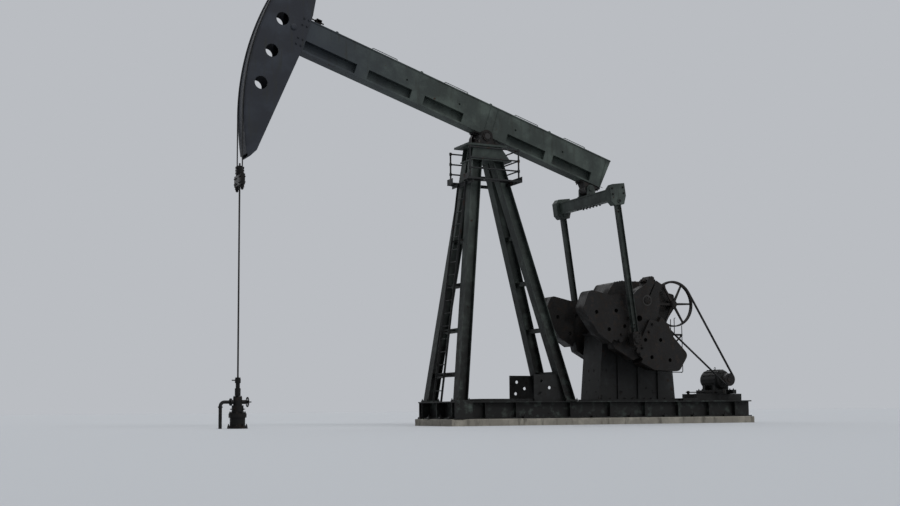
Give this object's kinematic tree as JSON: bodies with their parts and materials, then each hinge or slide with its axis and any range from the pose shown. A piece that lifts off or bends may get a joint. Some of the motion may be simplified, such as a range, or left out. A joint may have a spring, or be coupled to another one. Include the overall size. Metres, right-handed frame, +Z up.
{
  "type": "pumpjack",
  "caption": "Beam pumping unit on a skid and plinth: walking beam with horsehead, post with ladder and platform, cranks with counterweights, gear reducer, belt drive, motor and wellhead.",
  "frame": {"origin": "on the plinth's bottom face, straight below the walking beam's centre bearing, on the middle plane", "axes": "+X from the well towards the motor, +Z up, -Y the near side with the belt drive"},
  "size_m": [13.5576, 2.722, 10.7364],
  "materials": {
    "grey_green_paint": "weathered grey-green paint with pale worn patches and rust",
    "dark_head_paint": "dull dark blue-grey paint, weathered",
    "dark_machine_paint": "dull dark paint with rust and dust",
    "oily_cast_iron": "rough casting, oily brown-black with rust",
    "rusty_fittings": "dark oily fittings with rust",
    "bright_steel": "turned steel with an oil film",
    "wire_rope": "greased wire rope",
    "belt_rubber": "dull black rubber",
    "plinth_concrete": "weathered, stained concrete"
  },
  "bodies": {
    "frame": {"plinth": "plinth_concrete", "front_sill": "grey_green_paint", "skid_rail_near": "grey_green_paint", "skid_rail_far": "grey_green_paint", "skid_cross_members": "grey_green_paint", "deck_plates": "dark_machine_paint", "foot_plates": "grey_green_paint", "foot_gussets": "dark_machine_paint", "front_leg_near": "grey_green_paint", "front_leg_far": "grey_green_paint", "rear_leg_near": "grey_green_paint", "rear_leg_far": "grey_green_paint", "leg_cross_bars": "grey_green_paint", "ladder": "dark_machine_paint", "post_cap": "grey_green_paint", "post_bearings": "oily_cast_iron", "platform_floor": "dark_machine_paint", "handrails": "dark_machine_paint", "reducer_stand": "dark_machine_paint", "pipe_bracket": "dark_machine_paint", "gear_reducer": "oily_cast_iron", "motor": "dark_machine_paint", "motor_rails": "dark_machine_paint", "drive_belt": "belt_rubber", "wellhead": "rusty_fittings", "stuffing_box": "rusty_fittings", "flow_line": "dark_machine_paint"},
    "beam": {"walking_beam": "grey_green_paint", "horsehead": "dark_head_paint", "horsehead_track": "dark_head_paint", "beam_saddle": "oily_cast_iron", "saddle_shaft": "bright_steel", "tail_bearing": "oily_cast_iron", "bridle_wrap": "wire_rope"},
    "cranks": {"crankshaft": "bright_steel", "crank_arm_near": "oily_cast_iron", "crank_arm_far": "oily_cast_iron", "counterweights_near": "oily_cast_iron", "counterweights_far": "oily_cast_iron", "wrist_pins": "bright_steel"},
    "pitmans": {"equalizer_beam": "grey_green_paint", "pitman_near": "grey_green_paint", "pitman_far": "grey_green_paint", "wrist_bearings": "oily_cast_iron"},
    "hanger": {"carrier_bar": "rusty_fittings", "rod_clamp": "rusty_fittings", "polished_rod": "bright_steel", "bridle_strands": "wire_rope"},
    "sheave": {"drive_sheave": "oily_cast_iron", "brake_drum": "oily_cast_iron"},
    "pulley": {"motor_pulley": "oily_cast_iron"},
    "handwheel": {"valve_handwheel": "rusty_fittings"}
  },
  "joints": [
    {"name": "crank_turn", "type": "hinge", "parent": "frame", "child": "cranks", "pos_m": [3.965, 0, 2.95], "axis": [0, 1, 0], "range_deg": [0, 139.4]},
    {"name": "beam_rock", "type": "hinge", "parent": "frame", "child": "beam", "pos_m": [0, 0, 6.74], "axis": [0, -1, 0], "range_deg": [0, 37.73]},
    {"name": "pitman_swing", "type": "hinge", "parent": "beam", "child": "pitmans", "pos_m": [2.91238, 0, 5.72011], "axis": [0, 1, 0], "range_deg": [0, 33.53]},
    {"name": "rod_slide", "type": "slide", "parent": "frame", "child": "hanger", "axis": [0, 0, -1], "range_m": [0, 3.8637], "deforming": ["bridle_strands"]},
    {"name": "sheave_turn", "type": "hinge", "parent": "frame", "child": "sheave", "pos_m": [5.036, 0, 2.923], "axis": [0, 1, 0], "continuous": true},
    {"name": "pulley_turn", "type": "hinge", "parent": "frame", "child": "pulley", "pos_m": [6.69, 0, 1.08], "axis": [0, 1, 0], "continuous": true},
    {"name": "valve_turn", "type": "hinge", "parent": "frame", "child": "handwheel", "pos_m": [-5.87, 0, 0.56], "axis": [1, 0, 0], "continuous": true}
  ],
  "couplings": [
    {"joint": "beam_rock", "follows": "crank_turn", "ratio": 0.27049},
    {"joint": "pitman_swing", "follows": "crank_turn", "ratio": 0.24038},
    {"joint": "rod_slide", "follows": "crank_turn", "m_per_rad": 1.5878},
    {"joint": "pulley_turn", "follows": "sheave_turn", "ratio": 3.7333}
  ]
}
